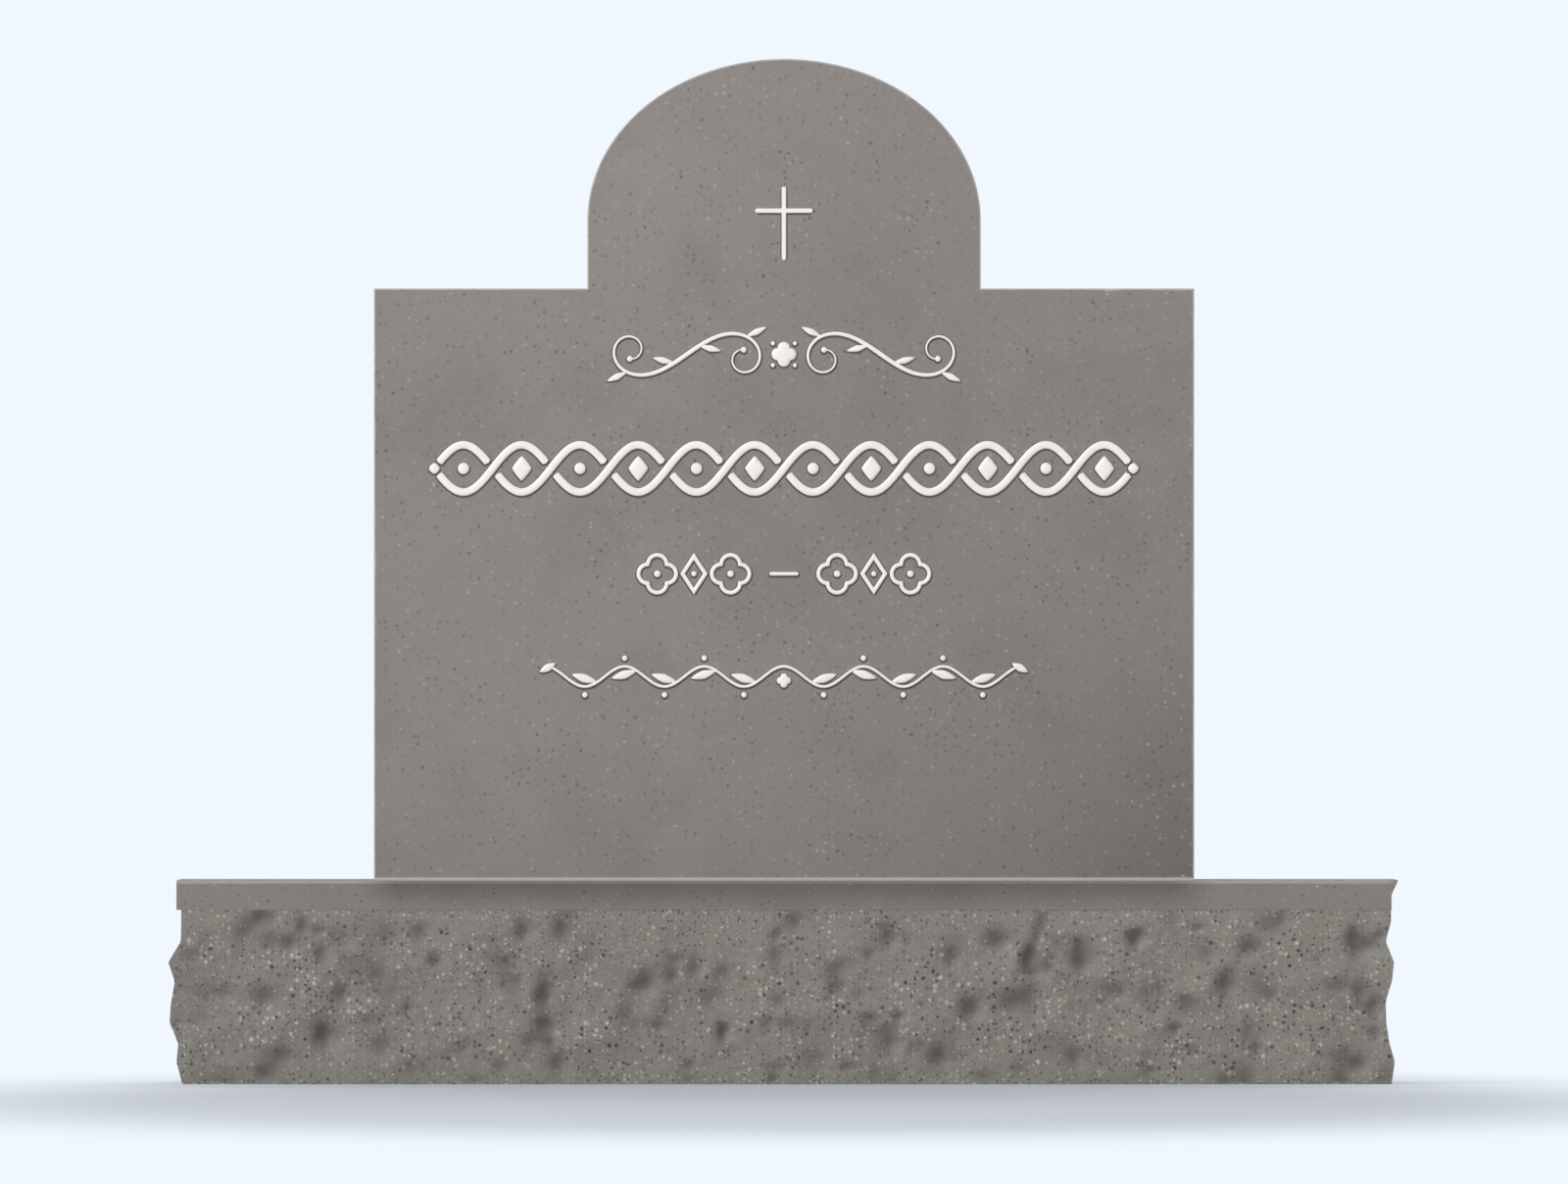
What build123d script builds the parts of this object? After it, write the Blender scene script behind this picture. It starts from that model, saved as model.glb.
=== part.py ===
from build123d import *
import math
import os
import random

# A granite headstone: an arched tablet with square shoulders, dowelled upright on a rock-pitched base.
# Millimetres. X runs along the stone, Y from its face to its back and Z up from the ground.
# The origin is under the middle of the base.

# Tablet
tablet_width = 611
tablet_height = 610  # from its foot to the top of its arch
tablet_thickness = 102
tablet_arris = 1.5  # chamfer round the front and back faces
head_width = 293
arch_rise = 120  # the arch is half an ellipse
neck_height = 51  # upright sides of the head, between shoulder and arch

# Base, honed on top and along a narrow margin, rock-pitched below it
base_height = 151.5
base_arris = 2.3  # chamfer along the front and back of the top
margin_length = 903
margin_depth = 290
margin_height = 22
lip_height = 10.5  # the right-hand end of the margin is broken away under a lip
lip_overhang = 5

# Rock-pitched faces: shallow hollows left by the flakes that the pitching tool struck off
flake_width = 54
flake_height = 43
flake_scatter = 0.3  # how far a flake strays from its place in the row, as a share of its size
flake_variety = 0.25  # how much deeper or shallower than the others a flake may be, in bowl depths
flake_proud = 7.5  # the highest ridge of the long faces, beyond the margin
end_hollow = 9  # the deepest hollow of the ends, behind the margin's end
corner_ease = 26  # the ends hollow out from their corners over this distance
pitched_setback = 0.3  # the straight pitched lines along the long faces, behind the margin
pitched_rise = 0.25  # share of the height over which a face comes out from its pitched lines
long_stations = 40  # points of an outline along each long face
end_stations = 13  # and along each end
station_stray = 0.25  # how far such a point strays from even spacing, as a share of it

# The two ends in front view: how far each level stands beyond the margin's end.
# Levels run from the ground up, as shares of the pitched height.
level_shares = (0, 0.13, 0.23, 0.355, 0.475, 0.59, 0.7, 0.82, 0.935, 1)
left_end_proud = (-4.4, 0, -1.5, 5.1, 3.9, 1.1, 6.0, -3.3, -3.6, -3.6)
right_end_proud = (0, 2.4, -1.5, -4.0, -4.4, 0.2, 1.8, -4.4, -0.4, -0.4)

# Joint between tablet and base
joint_thickness = 1.5
joint_recess = 0.3  # pointed almost flush with the tablet's faces
pad_size = 25
pad_inset = 26  # centre of a pad from the tablet's face and back
pad_end_inset = 60  # and from its ends

# Dowels that hold the tablet on the base
dowel_diameter = 16
dowel_length = 150
dowel_embedment = 75  # in the base
dowel_spacing = 320
dowel_clearance = 0.3  # all round the dowel
dowel_end_room = 5  # left over at the blind end in the tablet

# Sockets under the base for ground anchors
anchor_diameter = 18
anchor_depth = 60
anchor_spacing = 620

# Latin cross, a band of enamel let into the face
cross_height = 55
cross_span = 43
cross_stroke = 3.5
crossbar_drop = 18  # from the cross's top to the middle of its bar
cross_drop = 95  # from the top of the arch to the cross's top
inlay_depth = 3
inlay_proud = 1.2
inlay_ease = 0.4  # chamfer along the inlay's outer edges
inlay_fit = 0.05  # between the inlay and its groove

pitched_height = base_height - margin_height
joint_top = base_height + joint_thickness
tablet_top = joint_top + tablet_height
tablet_face = -tablet_thickness / 2


def flakes(length, seed):
    """Centre and depth of each flake of a face, in rows that overlap like brickwork."""
    draw = random.Random(seed)
    placed = []
    for row in range(math.ceil(pitched_height / flake_height)):
        for column in range(math.ceil(length / flake_width) + 1):
            along = column + row % 2 / 2 + draw.uniform(-flake_scatter, flake_scatter)
            up = row + 0.5 + draw.uniform(-flake_scatter, flake_scatter)
            depth = draw.uniform(-flake_variety, flake_variety)
            placed.append((along * flake_width - length / 2, up * flake_height, depth))
    return placed


def bowls(struck, along, up):
    """Height of a face at a point, in bowl depths: the lowest of the bowls that the flakes left."""
    return min(
        depth + ((along - a) / flake_width) ** 2 + ((up - u) / flake_height) ** 2
        for a, u, depth in struck
    )


def taper(share):
    """0 at the pitched lines at top and bottom, rising along a quarter wave to 1."""
    return math.sin(math.pi / 2 * min(1, share / pitched_rise, (1 - share) / pitched_rise))


def stations(length, count, draw):
    """Places along a face where an outline turns, unevenly spaced between its two corners."""
    inner = [k + draw.uniform(-station_stray, station_stray) for k in range(1, count)]
    return [length * (k / count - 0.5) for k in (0, *inner, count)]


def surveyed(length, count, seed):
    """A face as rows of (place along it, height), one row a level, with the lowest point at 0."""
    struck = flakes(length, seed)
    draw = random.Random(-seed)
    rows = [
        [(a, bowls(struck, a, share * pitched_height)) for a in stations(length, count, draw)]
        for share in level_shares
    ]
    lowest = min(height for row in rows for _, height in row)
    return [[(a, height - lowest) for a, height in row] for row in rows]


def long_face(seed):
    """Rows of (x, how far out from the margin) for the front or the back."""
    rows = surveyed(margin_length, long_stations, seed)
    rows = [[(a, taper(s) * height) for a, height in row] for s, row in zip(level_shares, rows)]
    relief = (flake_proud + pitched_setback) / max(height for row in rows for _, height in row)
    return [[(a, relief * height - pitched_setback) for a, height in row] for row in rows]


def inward(along):
    """0 at the corners of an end, rising along a smooth step to 1."""
    step = min(1, (margin_depth / 2 - abs(along)) / corner_ease)
    return step * step * (3 - 2 * step)


def end_face(proud, seed):
    """Rows of (y, how far out from the margin) for an end, whose outermost points follow proud."""
    rows = []
    for share, out, row in zip(level_shares, proud, surveyed(margin_depth, end_stations, seed)):
        highest = max(height for _, height in row)
        drop = taper(share) * (out + end_hollow)
        rows.append([(a, out - drop * inward(a) * (1 - height / highest)) for a, height in row])
    return rows


def pitched_block():
    """The rock-pitched part of the base: outlines at each level, joined by straight-ruled facets."""
    front, back = long_face(1), long_face(2)
    left, right = end_face(left_end_proud, 3), end_face(right_end_proud, 4)
    half_length, half_depth = margin_length / 2, margin_depth / 2
    outlines = []
    for level, share in enumerate(level_shares):
        z = share * pitched_height
        f, b, l, r = front[level], back[level], left[level], right[level]
        corners = [
            (-half_length - l[0][1], -half_depth - f[0][1], z),
            (half_length + r[0][1], -half_depth - f[-1][1], z),
            (half_length + r[-1][1], half_depth + b[-1][1], z),
            (-half_length - l[-1][1], half_depth + b[0][1], z),
        ]
        sides = [
            [(x, -half_depth - out, z) for x, out in f[1:-1]],
            [(half_length + out, y, z) for y, out in r[1:-1]],
            [(x, half_depth + out, z) for x, out in reversed(b[1:-1])],
            [(-half_length - out, y, z) for y, out in reversed(l[1:-1])],
        ]
        points = [p for corner, side in zip(corners, sides) for p in (corner, *side)]
        outlines.append(Wire.make_polygon(points))
    return Solid.make_loft(outlines, ruled=True)


def margin_block():
    """The honed top of the base: a straight band with eased long edges and a lip at its broken end."""
    end = margin_length / 2
    profile = Polyline(
        (-end, pitched_height),
        (end, pitched_height),
        (end, base_height - lip_height),
        (end + lip_overhang, base_height),
        (-end, base_height),
        close=True,
    )
    block = extrude(Plane.XZ * make_face(profile), margin_depth / 2, both=True)
    top = block.faces().sort_by(Axis.Z)[-1]
    return chamfer(top.edges().filter_by(Axis.X), base_arris)


def dowel_places(z):
    """The two dowels' axes, at a height."""
    return [Pos(x, 0, z) for x in (-dowel_spacing / 2, dowel_spacing / 2)]


def upright_hole(diameter, depth):
    """A round hole's volume, from z = 0 up."""
    return Cylinder(diameter / 2, depth, align=(Align.CENTER, Align.CENTER, Align.MIN))


def base():
    """Pitched block and margin in one stone, with the dowels' and the ground anchors' holes."""
    stone = pitched_block() + margin_block()
    dowel_hole = upright_hole(dowel_diameter + 2 * dowel_clearance, dowel_embedment)
    for place in dowel_places(base_height - dowel_embedment):
        stone -= place * dowel_hole
    for x in (-anchor_spacing / 2, anchor_spacing / 2):
        stone -= Pos(x, 0, 0) * upright_hole(anchor_diameter, anchor_depth)
    return stone


def cross(clearance):
    """Outline of the cross in the face's own plane, with its top at 0 and rounded stroke ends."""
    upright = Pos(0, -cross_height / 2) * SlotOverall(
        cross_height - 2 * clearance, cross_stroke - 2 * clearance, rotation=90
    )
    bar = Pos(0, -crossbar_drop) * SlotOverall(cross_span - 2 * clearance, cross_stroke - 2 * clearance)
    return upright + bar


def cross_on_face(clearance, back, front):
    """The cross as a band that lies between two planes, given by their y."""
    plane = Plane(origin=(0, back, tablet_top - cross_drop), x_dir=(1, 0, 0), z_dir=(0, -1, 0))
    return extrude(plane * cross(clearance), back - front)


def tablet():
    """The slab: square shoulders, a neck and half an ellipse over it, with the cross cut in its face."""
    shoulder = tablet_height - arch_rise - neck_height
    spring = shoulder + neck_height
    body = Pos(0, shoulder / 2) * Rectangle(tablet_width, shoulder)
    neck = Pos(0, spring / 2) * Rectangle(head_width, spring)
    arch = Pos(0, spring) * Ellipse(head_width / 2, arch_rise)
    profile = Plane.XZ * (body + neck + arch)
    slab = Pos(0, 0, joint_top) * extrude(profile, tablet_thickness / 2, both=True)
    faces = slab.faces().sort_by(Axis.Y)
    slab = chamfer(faces[0].edges() + faces[-1].edges(), tablet_arris)
    slab -= cross_on_face(0, tablet_face + inlay_depth, tablet_face - inlay_proud)
    hole_depth = dowel_length - dowel_embedment - joint_thickness + dowel_end_room
    for place in dowel_places(joint_top):
        slab -= place * upright_hole(dowel_diameter + 2 * dowel_clearance, hole_depth)
    return slab


def cross_inlay():
    """Enamel band that fills the groove and stands a little proud, with its edges eased."""
    band = cross_on_face(inlay_fit, tablet_face + inlay_depth, tablet_face - inlay_proud)
    return chamfer(band.faces().sort_by(Axis.Y)[0].edges(), inlay_ease)


def pad_places():
    """Each pad's name and middle."""
    return {
        f"{side}_{end}_setting_pad": Pos(x, y, base_height + joint_thickness / 2)
        for side, y in (("front", tablet_face + pad_inset), ("back", -tablet_face - pad_inset))
        for end, x in (
            ("left", -tablet_width / 2 + pad_end_inset),
            ("right", tablet_width / 2 - pad_end_inset),
        )
    }


def setting_pad():
    return Box(pad_size, pad_size, joint_thickness)


def setting_joint():
    """The bed of setting compound, with the pads and the dowels let through it."""
    bed = Pos(0, 0, base_height + joint_thickness / 2) * Box(
        tablet_width - 2 * joint_recess, tablet_thickness - 2 * joint_recess, joint_thickness
    )
    for place in pad_places().values():
        bed -= place * setting_pad()
    for place in dowel_places(base_height):
        bed -= place * upright_hole(dowel_diameter + 2 * dowel_clearance, joint_thickness)
    return bed


def dowel():
    """A steel bar that stands on the floor of its hole in the base."""
    return Cylinder(dowel_diameter / 2, dowel_length, align=(Align.CENTER, Align.CENTER, Align.MIN))


pieces = {"tablet": tablet(), "base": base(), "cross_inlay": cross_inlay(), "setting_joint": setting_joint()}
for name, place in pad_places().items():
    pieces[name] = place * setting_pad()
for name, place in zip(("left_dowel", "right_dowel"), dowel_places(base_height - dowel_embedment)):
    pieces[name] = place * dowel()

os.makedirs("parts", exist_ok=True)
for name, piece in pieces.items():
    export_step(piece, f"parts/{name}.step")
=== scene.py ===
import math
import random

import bmesh
import bpy
import numpy as np
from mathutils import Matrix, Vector


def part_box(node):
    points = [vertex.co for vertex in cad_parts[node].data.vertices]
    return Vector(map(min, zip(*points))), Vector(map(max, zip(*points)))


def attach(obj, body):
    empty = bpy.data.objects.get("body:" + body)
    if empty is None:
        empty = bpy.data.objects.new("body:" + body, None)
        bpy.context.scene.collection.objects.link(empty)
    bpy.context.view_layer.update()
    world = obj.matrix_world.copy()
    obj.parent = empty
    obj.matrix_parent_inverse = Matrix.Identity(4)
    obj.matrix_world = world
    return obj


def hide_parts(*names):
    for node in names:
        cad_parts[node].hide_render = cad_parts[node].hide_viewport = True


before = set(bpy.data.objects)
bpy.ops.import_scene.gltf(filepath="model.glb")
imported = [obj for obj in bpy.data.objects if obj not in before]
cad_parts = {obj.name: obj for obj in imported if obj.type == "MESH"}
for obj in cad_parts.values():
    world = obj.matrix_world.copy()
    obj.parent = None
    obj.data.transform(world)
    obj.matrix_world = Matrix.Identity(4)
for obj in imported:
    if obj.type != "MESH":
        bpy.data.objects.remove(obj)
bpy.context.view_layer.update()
print("frame loaded,", len(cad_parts), "nodes")

# Shapes are worked out in millimetres, and buildPiece turns them to metres.
# X runs along the stone, Y from its face to its back and Z up from the ground.
mm = 0.001


# sRGB hex to linear light: c / 12.92 up to 0.04045, above that ((c + 0.055) / 1.055) to the power 2.4
def linear(hexColour):
    channels = [int(hexColour[i:i + 2], 16) / 255 for i in (1, 3, 5)]
    return [c / 12.92 if c <= 0.04045 else ((c + 0.055) / 1.055) ** 2.4 for c in channels] + [1.0]


# a pattern's scale, from the real size in millimetres of what it draws
def scale(size):
    return 1 / (size * mm)


# Sets a node's inputs, by name, by number or in turn: a hex colour is made linear, and a socket, or
# another node's first output in use, is linked.
def connect(tree, node, inputs):
    for key, value in inputs.items() if isinstance(inputs, dict) else enumerate(inputs):
        if isinstance(value, bpy.types.Node):
            value = next(output for output in value.outputs if output.enabled)
        if isinstance(value, bpy.types.NodeSocket):
            tree.links.new(value, node.inputs[key])
        else:
            node.inputs[key].default_value = linear(value) if isinstance(value, str) else value


# Adds a node with its settings and inputs. In Mix, 0 is the factor and 6 and 7 are the colours.
# In Map Range, the value is followed by its limits and by what they become.
def add(tree, kind, inputs=(), **settings):
    node = tree.nodes.new("ShaderNode" + kind)
    for key, value in settings.items():
        setattr(node, key, value)
    connect(tree, node, inputs)
    return node


# a new material, its nodes and the place on the piece that its patterns follow
def newMaterial(name):
    material = bpy.data.materials.new(name)
    material.use_nodes = True
    tree = material.node_tree
    return material, tree, add(tree, "TexCoord").outputs["Object"]


def surface(tree, colour, rough, bump, metal=0.0):
    connect(tree, tree.nodes["Principled BSDF"],
            {"Base Color": colour, "Roughness": rough, "Normal": bump, "Metallic": metal})


def newObject(name, data):
    thing = bpy.data.objects.new(name, data)
    bpy.context.scene.collection.objects.link(thing)
    return thing


# faces between rings of points, and from the last ring to the first where closed
def tubeFaces(rings, around, closed=False):
    index = np.arange(rings * around).reshape(rings, around)
    index = np.hstack([index, index[:, :1]])
    if closed:
        index = np.vstack([index, index[:1]])
    return np.stack([index[:-1, :-1], index[1:, :-1], index[1:, 1:], index[:-1, 1:]], -1).reshape(-1, 4)


# one face round the points of a ring
def ringFace(first, count):
    return np.arange(first, first + count)[None]


# makes a mesh object from points in millimetres, with faces turned outwards, and fills open loops
# with the material of that number
def buildPiece(name, points, faces, attributes=None, materialIndex=None, fillWith=None, sharpAngle=35):
    mesh = bpy.data.meshes.new(name)
    corners = [face for part in faces for face in part.tolist()]
    mesh.from_pydata(np.asarray(points) * mm, [], corners)
    for key, values in (attributes or {}).items():
        mesh.attributes.new(key, "FLOAT", "POINT").data.foreach_set("value", values.astype(np.float32))
    if materialIndex is not None:
        mesh.polygons.foreach_set("material_index", materialIndex.astype(np.int32))
    work = bmesh.new()
    work.from_mesh(mesh)
    if fillWith is not None:
        rim = [edge for edge in work.edges if edge.is_boundary]
        for face in bmesh.ops.triangle_fill(work, use_beauty=True, edges=rim)["geom"]:
            if isinstance(face, bmesh.types.BMFace):
                face.material_index = fillWith
    bmesh.ops.recalc_face_normals(work, faces=work.faces)
    work.to_mesh(mesh)
    work.free()
    mesh.shade_smooth()
    mesh.set_sharp_from_angle(angle=math.radians(sharpAngle))
    piece = newObject(name, mesh)
    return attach(piece, "root")


# smooth noise round a loop, from -1 to 1: white noise, its spectrum cut by exp(-(frequency * span)^2)
def loopNoise(count, span, seed):
    white = np.random.default_rng(seed).normal(size=count)
    spectrum = np.fft.rfft(white) * np.exp(-(np.fft.rfftfreq(count) * span) ** 2)
    spectrum[0] = 0
    noise = np.fft.irfft(spectrum, count)
    return noise / np.abs(noise).max()


# smooth step from 0 to 1, s^2 (3 - 2 s)
def smooth(value):
    step = np.clip(value, 0, 1)
    return step * step * (3 - 2 * step)


# roughness over a face, from about -1 to 1: plane waves of random direction, cos(k . p + phase)
def waves(along, up, shortest, longest, seed, count=40):
    rng = np.random.default_rng(seed)
    angle, phase = rng.uniform(0, 2 * np.pi, (2, count))
    pitch = 2 * np.pi / rng.uniform(shortest, longest, count)
    total = sum(
        np.cos(p * (np.cos(a) * along + np.sin(a) * up) + f) for p, a, f in zip(pitch, angle, phase)
    )
    return total / math.sqrt(2 * count)


# angles of that many points round a circle
def fullTurn(count):
    return np.linspace(0, 2 * np.pi, count + 1)[:-1]


# where a distance leads in the direction of an angle
def polar(distance, angle):
    return np.stack([distance * np.cos(angle), distance * np.sin(angle)], -1)


# distance along a path to each of its points
def distances(path):
    return np.concatenate([[0], np.cumsum(np.linalg.norm(np.diff(path, axis=0), axis=1))])


# Granite, one stone with three finishes. To the eye it is a warm grey ground of fine crystals
# with scattered flecks: black ones of mica and pale ones of feldspar. Sizes are in millimetres.
honedLook = {
    "ground": "#8B8682",
    "cloud": "#86807C",
    "cloudSize": 28,
    "mottleSize": 75,  # soft darker patches of the quarry block
    "mottleRange": (0.45, 0.68),  # of the noise, over which they come in
    "mottle": 0.08,
    "grainSize": 1.8,
    "grain": 0.035,
    "rippleSize": 1.6,  # the crystals' outlines waver by noise of this size
    "ripple": 1.2,
    "flecks": ((6.2, 1.65), (4.6, 1.0)),  # spacing and largest radius, of the coarse and the fine ones
    "fleckRim": (1.15, 0.6),  # they come in from the one to the other share of their radius
    "smallest": 0.35,  # share of the largest radius
    "faintest": 0.3,  # and of the full strength
    "thinnest": 0.45,  # strength of the flecks where they lie thinnest
    "gatherSize": 34,
    "gatherRange": (0.35, 0.6),
    "darkFleck": "#463F3C",
    "paleFleck": "#ADA9A4",
    "darkOnes": 0.64,  # share of the flecks
    "fleckStrength": 0.66,
    "bruiseAndHighlightTint": "#B6B4B1",  # bruised crystals along the edges look whiter, and this is also a painted highlight on the edges and beside the pits
    # dirt and painted shade in the pits
    "dirtAndShadeTint": "#544E4B",
    "roughness": 0.5,
    "micaShine": 0.2,  # the roughness that black flecks lack
    "uneven": 0.14,
    "bump": 0.03,
    "bumpSize": 1.8,
    "facets": 0.4,  # of the crystals, beside the pores of the bump
}
pitchedLook = {
    **honedLook,
    "ground": "#85827C",
    "cloud": "#7E7B75",
    "mottleSize": 40,
    "mottle": 0.05,
    "grain": 0.06,
    "flecks": ((4.2, 1.9), (3.2, 1.1)),
    "thinnest": 0.7,
    "darkFleck": "#322E2B",
    "paleFleck": "#BFBCB5",
    "darkOnes": 0.62,
    "fleckStrength": 1.0,
    "roughness": 0.75,
    "bump": 0.35,
    "bumpSize": 3.2,
}
# the base is of darker blocks than the tablet
baseHonedLook = {**honedLook, "ground": "#827D79", "cloud": "#7D7773"}
sawnLook = {**honedLook, "ground": "#7D7874", "cloud": "#76716D", "roughness": 0.8, "bump": 0.12}


def granite(name, look, tonesAndPaintedLight=()):
    material, tree, place = newMaterial(name)

    # crystals have uneven outlines, so their places are warped by a finer noise
    ripple = add(tree, "TexNoise", {"Vector": place, "Scale": scale(look["rippleSize"]), "Detail": 1})
    centred = add(tree, "VectorMath", (ripple.outputs["Color"], (0.5, 0.5, 0.5)), operation="SUBTRACT")
    waver = [look["ripple"] * mm] * 3
    warped = add(tree, "VectorMath", (centred, waver, place), operation="MULTIPLY_ADD")

    # ground colour: two close tints in clouds, then lighter and darker patches and crystals, and places
    # of painted shade and painted light
    clouds = add(tree, "TexNoise", {"Vector": place, "Scale": scale(look["cloudSize"]), "Detail": 4})
    colour = add(tree, "Mix", {0: clouds, 6: look["ground"], 7: look["cloud"]}, data_type="RGBA")
    patches = add(tree, "TexNoise", {"Vector": place, "Scale": scale(look["mottleSize"]), "Detail": 2})
    patchLevel = add(tree, "MapRange", (patches, *look["mottleRange"], 1.0, 1 - look["mottle"]),
                     interpolation_type="SMOOTHSTEP")
    crystals = add(tree, "TexVoronoi", {"Vector": warped, "Scale": scale(look["grainSize"])})
    crystal = add(tree, "SeparateColor", (crystals.outputs["Color"],))
    grain = look["grain"]
    crystalLevel = add(tree, "MapRange", (crystal.outputs[0], 0.0, 1.0, 1 - grain, 1 + grain))
    level = add(tree, "Math", (patchLevel, crystalLevel), operation="MULTIPLY")
    for at, reach, depth in tonesAndPaintedLight:
        # the colour darkens towards a place by depth * e^(-distance / reach), and lightens where depth
        # is below 0: the stone's own patches, and painted shade and painted light
        away = add(tree, "VectorMath", (place, Vector(at) * mm), operation="DISTANCE")
        ratio = add(tree, "Math", (away, -scale(reach)), operation="MULTIPLY")
        falloff = add(tree, "Math", (ratio,), operation="EXPONENT")
        shade = add(tree, "Math", (falloff, -depth, 1.0), operation="MULTIPLY_ADD")
        level = add(tree, "Math", (level, shade), operation="MULTIPLY")
    colour = add(tree, "VectorMath", {0: colour, "Scale": level}, operation="SCALE")

    # flecks in two sizes: round cells of a pattern, whose own random colour says which are dark, how
    # large and how strong they are, and a slow noise gathers them into thicker and thinner patches
    slow = add(tree, "TexNoise", {"Vector": place, "Scale": scale(look["gatherSize"]), "Detail": 1})
    gathered = add(tree, "MapRange", (slow, *look["gatherRange"], look["thinnest"], 1.0))
    for spacing, radius in look["flecks"]:
        cells = add(tree, "TexVoronoi", {"Vector": warped, "Scale": scale(spacing)})
        chance = add(tree, "SeparateColor", (cells.outputs["Color"],))
        size = add(tree, "MapRange", (chance.outputs[1], 0.0, 1.0, look["smallest"], 1.0))
        ratio = add(tree, "Math", (cells.outputs["Distance"], size), operation="DIVIDE")
        rims = [radius / spacing * rim for rim in look["fleckRim"]]
        disc = add(tree, "MapRange", (ratio, *rims, 0.0, look["fleckStrength"]))
        weight = add(tree, "MapRange", (chance.outputs[2], 0.0, 1.0, look["faintest"], 1.0))
        strength = add(tree, "Math", (gathered, weight), operation="MULTIPLY")
        fleck = add(tree, "Math", (disc, strength), operation="MULTIPLY")
        for tint, side in (("darkFleck", "LESS_THAN"), ("paleFleck", "GREATER_THAN")):
            chosen = add(tree, "Math", (chance.outputs[0], look["darkOnes"]), operation=side)
            share = add(tree, "Math", (fleck, chosen), operation="MULTIPLY")
            colour = add(tree, "Mix", {0: share, 6: colour, 7: look[tint]}, data_type="RGBA")
            if tint == "darkFleck":
                mica = share

    # dirt and painted shade in the pits, edges whitened by bruising and a painted highlight, and a
    # painted shadow below the tablet and a darker flat top that darken the stone
    for attribute, tint in (("dirtAndShade", "dirtAndShadeTint"), ("arris", "bruiseAndHighlightTint")):
        amount = add(tree, "Attribute", attribute_name=attribute).outputs["Fac"]
        colour = add(tree, "Mix", {0: amount, 6: colour, 7: look[tint]}, data_type="RGBA")
    # the painted shadow below the tablet and the darker flat top scale the colour down
    tabletShadowAndDarkTop = add(tree, "Attribute", attribute_name="tabletShadowAndDarkTop").outputs["Fac"]
    unshadowed = add(tree, "Math", (1.0, tabletShadowAndDarkTop), operation="SUBTRACT")
    colour = add(tree, "VectorMath", {0: colour, "Scale": unshadowed}, operation="SCALE")

    # mica is shinier than the ground, and each crystal takes the finish a little differently
    gloss = add(tree, "Math", (mica, -look["micaShine"], look["roughness"]), operation="MULTIPLY_ADD")
    uneven = add(tree, "Math", (crystal.outputs[1], look["uneven"], gloss), operation="MULTIPLY_ADD")
    pores = add(tree, "TexNoise",
                {"Vector": warped, "Scale": scale(look["bumpSize"]), "Detail": 3, "Roughness": 0.6})
    facets = add(tree, "Math", (crystal.outputs[2], look["facets"], pores), operation="MULTIPLY_ADD")
    bump = add(tree, "Bump", {"Height": facets, "Distance": look["bump"] * mm})
    surface(tree, colour, uneven, bump)
    return material


# Vitreous enamel, stoved on and slightly domed: an opaque warm white with a soft sheen,
# a little uneven like eggshell and greyer and duller where dust has bitten in.
enamelLook = {
    "white": "#FBF7F3",
    "dusty": "#F1EDE8",
    "patchSize": 9,
    "patchRange": (0.45, 0.8),
    "dust": 0.8,
    "eggshellSize": 2.5,
    "eggshell": 0.04,
    "roughness": 0.38,
    "dulled": 0.25,  # roughness that dust adds
}


def enamel(name, look):
    material, tree, place = newMaterial(name)
    patches = add(tree, "TexNoise",
                  {"Vector": place, "Scale": scale(look["patchSize"]), "Detail": 4, "Roughness": 0.6})
    dust = add(tree, "MapRange", (patches, *look["patchRange"], 0.0, look["dust"]))
    colour = add(tree, "Mix", {0: dust, 6: look["white"], 7: look["dusty"]}, data_type="RGBA")
    rough = add(tree, "Math", (dust, look["dulled"], look["roughness"]), operation="MULTIPLY_ADD")
    shell = add(tree, "TexNoise", {"Vector": place, "Scale": scale(look["eggshellSize"]), "Detail": 2})
    bump = add(tree, "Bump", {"Height": shell, "Distance": look["eggshell"] * mm})
    surface(tree, colour, rough, bump)
    return material


# Plain grained solids: setting compound is a chalky pale paste with sand in it, drawn bar has fine
# lines along its length, resin is a dark grey filler that has weathered dull, and round the enamel it
# also stands as a painted shadow, and the rubber-like pads are matt black with a faint bloom.
compoundLook = {
    "light": "#CBC8C4",
    "dark": "#BCB9B5",
    "grain": (1.2, 1.2, 1.2),
    "relief": 0.1,
    "rough": (0.8, 0.95),
    "metal": 0.0,
}
barLook = {
    **compoundLook,
    "light": "#B9B9BA",
    "dark": "#98989A",
    "grain": (0.4, 0.4, 30),
    "rough": (0.28, 0.42),
    "metal": 1.0,
}
shadowResinLook = {
    **compoundLook,
    "light": "#58534F",
    "dark": "#4A4642",
    "grain": (0.9, 0.9, 0.9),
    "rough": (0.6, 0.8),
}
padLook = {
    **compoundLook,
    "light": "#2C2B2A",
    "dark": "#1D1C1C",
    "grain": (0.8, 0.8, 0.8),
    "rough": (0.7, 0.85),
}


def grained(name, look):
    material, tree, place = newMaterial(name)
    stretch = add(tree, "Mapping", {"Vector": place, "Scale": [scale(size) for size in look["grain"]]})
    noise = add(tree, "TexNoise", {"Vector": stretch, "Scale": 1.0, "Detail": 4})
    colour = add(tree, "Mix", {0: noise, 6: look["light"], 7: look["dark"]}, data_type="RGBA")
    rough = add(tree, "MapRange", (noise, 0.0, 1.0, *look["rough"]))
    bump = add(tree, "Bump", {"Height": noise, "Distance": look["relief"] * mm})
    surface(tree, colour, rough, bump, look["metal"])
    return material


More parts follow.
